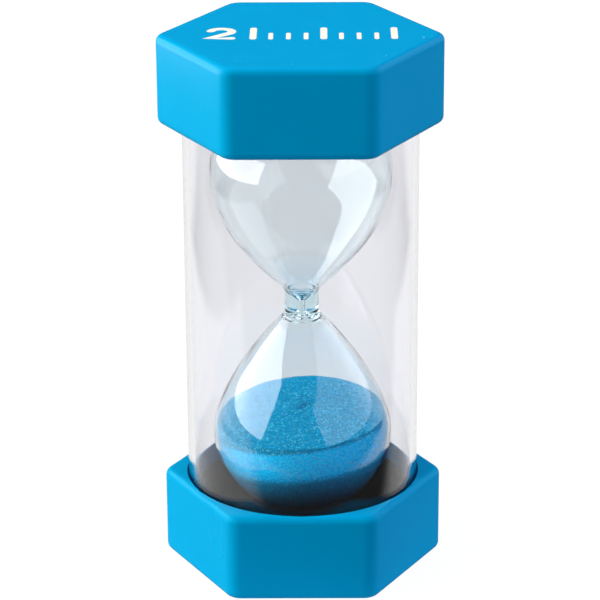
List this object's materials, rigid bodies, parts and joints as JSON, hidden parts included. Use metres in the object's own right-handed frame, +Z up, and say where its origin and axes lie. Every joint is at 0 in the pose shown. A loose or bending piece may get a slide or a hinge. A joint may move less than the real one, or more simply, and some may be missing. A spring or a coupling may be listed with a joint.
{
  "type": "hourglass",
  "caption": "Hourglass with six-sided caps on a clear tube that guards a blown double bulb of blue sand; turned over to time a short interval.",
  "frame": {"origin": "middle of the base cap's flat underside, on the tube's axis", "axes": "+Z up along the tube and the bulbs, +X through two opposite corners of the caps, +Y through two opposite flats; the front of the pictured view is -Y"},
  "size_m": [0.084, 0.0742, 0.165],
  "materials": {
    "cap_blue": "satin",
    "tube_clear": "polished",
    "bulb_glass": "polished",
    "sand_blue": "matte",
    "foam_black": "matte",
    "adhesive": "gloss",
    "plug_white": "matte"
  },
  "bodies": {
    "root": {"base_cap": "cap_blue", "top_cap": "cap_blue", "barrel": "tube_clear", "glass": "bulb_glass", "fill_plug": "plug_white", "sand": "sand_blue", "base_collar": "foam_black", "top_collar": "foam_black", "base_cushion": "foam_black", "top_cushion": "foam_black", "base_bead": "adhesive", "top_bead": "adhesive"}
  },
  "joints": []
}
